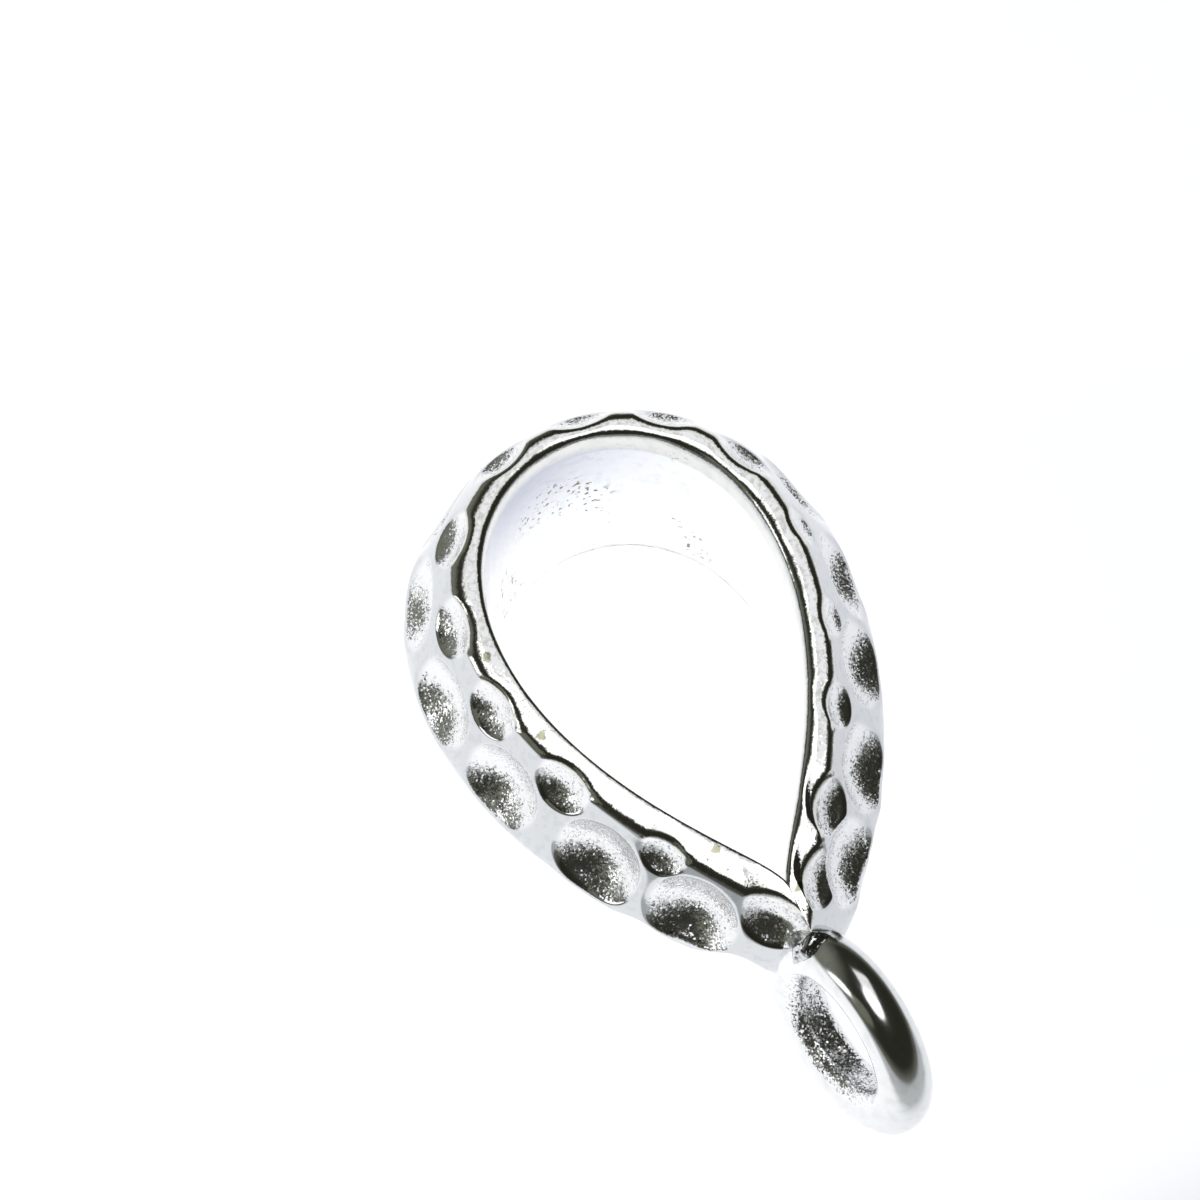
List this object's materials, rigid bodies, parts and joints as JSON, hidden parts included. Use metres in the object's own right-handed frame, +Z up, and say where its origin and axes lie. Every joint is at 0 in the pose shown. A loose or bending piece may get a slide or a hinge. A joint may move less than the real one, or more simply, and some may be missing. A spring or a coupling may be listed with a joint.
{
  "type": "bail finding",
  "caption": "Hammered teardrop bail cast in one piece: a dimpled loop for a cord to run through, with a fixed ring at its point to hang a pendant from.",
  "frame": {"origin": "centre of the bounding box on the surface that the bail lies on", "axes": "+Y along the bail from its ring to the round end of the teardrop, +Z up, close to the cord's direction through the loop, +X across the teardrop"},
  "size_m": [0.0094, 0.0164, 0.0056],
  "materials": {
    "silver_plate": "bright silver plating on a cast body, polished on the ridges and rough in the dimples"
  },
  "bodies": {
    "root": {"bail": "silver_plate"}
  },
  "joints": []
}
